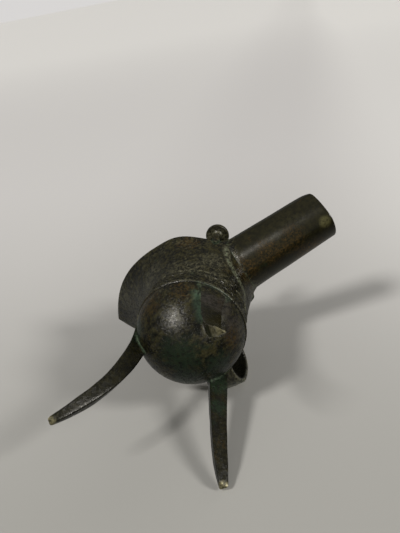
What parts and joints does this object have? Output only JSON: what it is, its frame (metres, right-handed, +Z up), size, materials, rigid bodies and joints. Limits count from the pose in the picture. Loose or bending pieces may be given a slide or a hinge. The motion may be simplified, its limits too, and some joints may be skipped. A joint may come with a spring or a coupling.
{
  "type": "ritual wine cup",
  "caption": "Hollow cast bronze jue: round-bottomed cup with a long channel spout, pointed tail, strap handle, two capped posts and splayed blade legs.",
  "frame": {"origin": "centre of the cup's footprint box, on the ground its three feet stand on", "axes": "+Z up; the pouring spout points to -X, the pointed tail of the lip to +X, the strap handle to -Y"},
  "size_m": [0.1894, 0.1, 0.1731],
  "materials": {
    "bronze": "dark olive-brown patinated cast bronze, semi-gloss, with green verdigris and worn edges"
  },
  "bodies": {
    "root": {"jue_cup": "bronze"}
  },
  "joints": []
}
